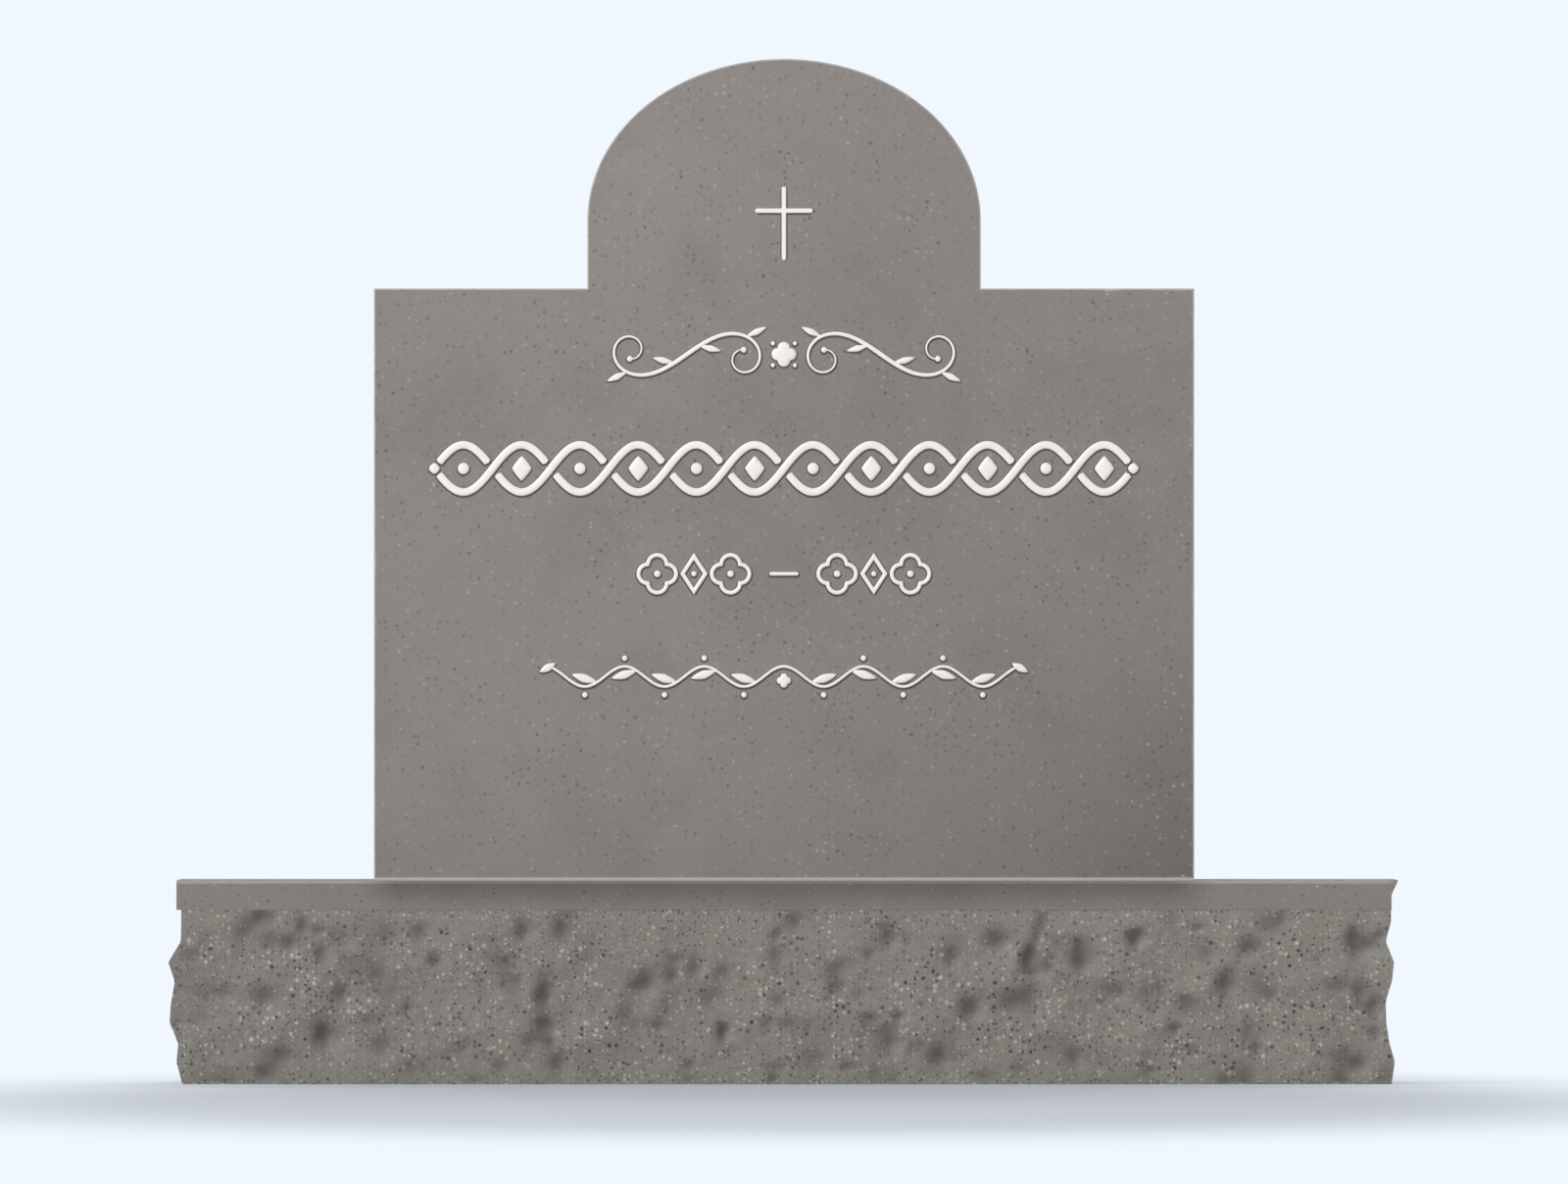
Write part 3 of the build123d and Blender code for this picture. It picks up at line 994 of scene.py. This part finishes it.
def plaitParts(row):
    parts = []
    lobes, pitch = row["lobes"], row["pitch"]
    clear = row["width"] / 2 + row["gap"]
    for strand in (0, 1):
        ends = sorted({0, lobes, *range(strand, lobes + 1, 2)})
        for first, last in zip(ends, ends[1:]):
            x = np.linspace(first, last, (last - first) * row["stepsPerLobe"] + 1)
            z = row["height"] * np.sin(np.pi * x) * (1 if strand else -1)
            path = np.column_stack([(x - lobes / 2) * pitch, z])
            travelled = distances(path)
            kept = (travelled >= clear) & (travelled <= travelled[-1] - clear)
            parts.append(stroke(path[kept], row["width"], endRound=row["endRound"]))
    for lobe in range(lobes):
        outline = petal(*row["lozenge"], row["lozengePower"]) if lobe % 2 else disc(row["round"])
        parts.append(bead(((lobe + 0.5 - lobes / 2) * pitch, 0), outline))
    for side in (1, -1):
        outline = petal(row["finial"], row["finial"], row["finialPower"])
        parts.append(bead((side * lobes / 2 * pitch, 0), outline))
    return parts


# Third row: two quatrefoils in outline with a lozenge between them on each side of a short bar.
foilRow = {
    "middle": 379.5,
    "foilAt": (39.7, 94.3),
    "foil": 14,
    "lozengeAt": 67,
    "lozenge": (8.5, 13),
    "width": 3.2,
    "bead": 2.6,
    "lozengeBead": 2.08,
    "bar": 11,
    "barWidth": 3,
}


def foilParts(row):
    parts = []
    for x in row["foilAt"]:
        parts.append(stroke(quatrefoil(row["foil"]) + (x, 0), row["width"], closed=True))
        parts.append(bead((x, 0), disc(row["bead"])))
    wide, tall = row["lozenge"]
    lozenge = np.array([(wide, 0), (0, tall), (-wide, 0), (0, -tall)]) + (row["lozengeAt"], 0)
    parts.append(stroke(lozenge, row["width"], closed=True))
    parts.append(bead((row["lozengeAt"], 0), disc(row["lozengeBead"])))
    parts = mirrored(parts)
    parts.append(stroke([(-row["bar"], 0), (row["bar"], 0)], row["barWidth"]))
    return parts


# Fourth row: a vine z = rise * cos(2 pi x / wave), with a leaf and a berry in the hollow of each bend.
vineRow = {
    "middle": 303,
    "bends": 5,  # on each side of the middle one
    "half": 174,
    "steps": 1200,
    "rise": 7.5,
    "wave": 59.3,
    "width": 2.3,
    "endRound": 6,
    "leaf": (10, 3.3),
    "leafPower": 1.35,
    "leafSplay": 50,
    "leafBefore": 0.62,  # where a leaf leaves the stem, in quarter waves ahead of its bend
    "berry": 2.2,
    "berryOut": 6.2,
    "tip": (7, 3),  # the leaf at each end
    "tipAt": (176, 6.5),
    "tipAngle": -0.5,
    "foil": 5.5,
    "foilDrop": 3,
}


def vineParts(row):
    parts = []
    wave = 2 * np.pi / row["wave"]
    for bend in range(1, row["bends"] + 1):
        side = (-1) ** bend
        x = bend * row["wave"] / 2
        start = x - row["leafBefore"] * row["wave"] / 4
        slope = -row["rise"] * wave * math.sin(wave * start)
        angle = math.atan(slope) - side * math.radians(row["leafSplay"])
        root = np.array([start, row["rise"] * math.cos(wave * start)])
        centre = root + polar(row["leaf"][0], angle)
        parts.append(bead(centre, petal(*row["leaf"], row["leafPower"], angle)))
        parts.append(bead((x, side * (row["rise"] + row["berryOut"])), disc(row["berry"])))
    parts.append(bead(row["tipAt"], petal(*row["tip"], row["leafPower"], row["tipAngle"])))
    parts = mirrored(parts)
    x = np.linspace(-row["half"], row["half"], row["steps"] + 1)
    stem = np.column_stack([x, row["rise"] * np.cos(wave * x)])
    parts.append(stroke(stem, row["width"], endRound=row["endRound"]))
    parts.append(bead((0, -row["foilDrop"]), quatrefoil(row["foil"])))
    return parts


# the cross is the frame's own node, so only its bed, dark resin and a painted shadow below it, is made
# here
crossShape = {"stroke": 3.4, "barDrop": 18}


def buildCrossShadowBed(shape):
    low, high = (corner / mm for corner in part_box("cross_inlay"))
    half = shape["stroke"] / 2
    bar = high.z - shape["barDrop"]
    upright = [(0, high.z - half), (0, low.z + half)]
    arms = [(low.x + half, bar), (high.x - half, bar)]
    buildShadowBed("crossShadowBed", 0, [stroke(line, shape["stroke"], endRound=half) for line in (upright, arms)])


buildTablet(tabletShape)
print("tablet done")
buildBase(baseShape)
print("base done")
for name, row, parts in (
    ("scrollOrnament", scrollRow, scrollParts),
    ("plaitOrnament", plaitRow, plaitParts),
    ("foilOrnament", foilRow, foilParts),
    ("vineOrnament", vineRow, vineParts),
):
    buildRow(name, row["middle"], parts(row))
buildCrossShadowBed(crossShape)
print("cross bed done")

nodeMaterials = {
    "cross_inlay": enamel("vitreousEnamelCross", enamelLook),
    "setting_joint": grained("settingCompound", compoundLook),
}
for end in ("left", "right"):
    nodeMaterials[f"{end}_dowel"] = grained("drawnStainlessBar", barLook)
for side in ("front", "back"):
    for end in ("left", "right"):
        nodeMaterials[f"{side}_{end}_setting_pad"] = grained("blackSettingPad", padLook)
for name, material in nodeMaterials.items():
    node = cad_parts[name]
    node.data.materials.clear()
    node.data.materials.append(material)
print("frame nodes finished")

# Floor, lamps, world and camera. The floor shows the background's colour beyond a soft oval: squeeze
# along X and Y and the shift forward make a circle of it, whose edge lies between the two radii. Inside
# it the lit floor is greyer than the background, a painted pool of shade round the stone beside its
# real shadows.
stageLook = {
    "background": "#F0F7FF",
    # the lit floor's grey inside the oval, a painted pool of shade
    "floorShadePoolTint": "#DCE2EA",
    "bounceTint": "#CBC8C4",  # what the stone sees of the floor
    "floorSize": 60,
    "squeeze": (1.15, 0.24),
    "forward": 0.42,
    "fadeFrom": 0.45,
    "fadeTo": 0.95,
    "skyStrength": 0.32,
}


def buildFloor(look):
    half = look["floorSize"] / 2
    mesh = bpy.data.meshes.new("floor")
    corners = [(-half, -half, 0), (half, -half, 0), (half, half, 0), (-half, half, 0)]
    mesh.from_pydata(corners, [], [(0, 1, 2, 3)])
    floor = newObject("floor", mesh)
    material, tree, place = newMaterial("paleFloor")
    tree.nodes.remove(tree.nodes["Principled BSDF"])
    squeezed = add(tree, "VectorMath", (place, (*look["squeeze"], 1), (0, look["forward"], 0)),
                   operation="MULTIPLY_ADD")
    distance = add(tree, "VectorMath", (squeezed,), operation="LENGTH")
    share = add(tree, "MapRange", (distance, look["fadeFrom"], look["fadeTo"], 0.0, 1.0),
                interpolation_type="SMOOTHSTEP")
    seen = add(tree, "LightPath").outputs["Is Camera Ray"]
    plainness = add(tree, "Math", (seen, share), operation="MULTIPLY")
    tint = add(tree, "Mix", {0: seen, 6: look["bounceTint"], 7: look["floorShadePoolTint"]}, data_type="RGBA")
    lit = add(tree, "BsdfDiffuse", (tint,))
    plain = add(tree, "Emission", (look["background"],))
    mixed = add(tree, "MixShader", (plainness, lit, plain))
    connect(tree, tree.nodes["Material Output"], (mixed,))
    mesh.materials.append(material)


# the sky lights the stone plainly, and seen directly, mirrored or through glass it is the background
def buildWorld(look):
    world = bpy.data.worlds.new("studio")
    bpy.context.scene.world = world
    world.use_nodes = True
    tree = world.node_tree
    sky = tree.nodes["Background"]
    connect(tree, sky, ((1, 1, 1, 1), look["skyStrength"]))
    backdrop = add(tree, "Background", (look["background"], 1.0))
    rays = add(tree, "LightPath").outputs
    seen = rays["Is Camera Ray"]
    for other in ("Is Glossy Ray", "Is Transmission Ray"):
        seen = add(tree, "Math", (seen, rays[other]), operation="MAXIMUM")
    mixed = add(tree, "MixShader", (seen, sky, backdrop))
    connect(tree, tree.nodes["World Output"], (mixed,))


lamps = {
    "key": {"place": (-6.8, -9.9, 4.3), "aim": (0, 0, 0.35), "size": 3.4, "watts": 1105, "gloss": True},
    "back": {"place": (0, 6.2, 2.4), "aim": (0, 0, 0.2), "size": 2.6, "watts": 340, "gloss": False},
    "side": {"place": (6.4, 1.6, 1.6), "aim": (0, 0, 0.3), "size": 2.6, "watts": 80, "gloss": False},
}


def aimed(name, data, place, aim):
    thing = newObject(name, data)
    thing.location = place
    thing.rotation_euler = (Vector(aim) - Vector(place)).to_track_quat("-Z", "Y").to_euler()
    return thing


# the photograph's frame in millimetres: its width and its middle's height over the plane between the
# two front faces, and the camera's height and distance from there
cameraView = {
    "frameWidth": 1166.6,
    "middle": 365.85,
    "plane": -100,
    "height": 283.9,
    "distance": 37000,
    "sensorWidth": 36,
    "clipEnd": 100,  # in metres
}


def buildCamera(view):
    camera = bpy.data.cameras.new("camera")
    camera.sensor_width = view["sensorWidth"]
    camera.lens = view["sensorWidth"] * view["distance"] / view["frameWidth"]
    camera.clip_end = view["clipEnd"]
    eye = Vector((0, view["plane"] - view["distance"], view["height"])) * mm
    middle = Vector((0, view["plane"], view["middle"])) * mm
    bpy.context.scene.camera = aimed("camera", camera, eye, middle)


buildFloor(stageLook)
buildWorld(stageLook)
for name, lamp in lamps.items():
    light = bpy.data.lights.new(name, "AREA")
    light.size = lamp["size"]
    light.energy = lamp["watts"]
    aimed(name, light, lamp["place"], lamp["aim"]).visible_glossy = lamp["gloss"]
buildCamera(cameraView)
bpy.context.scene.view_settings.view_transform = "Standard"
print("stage done")
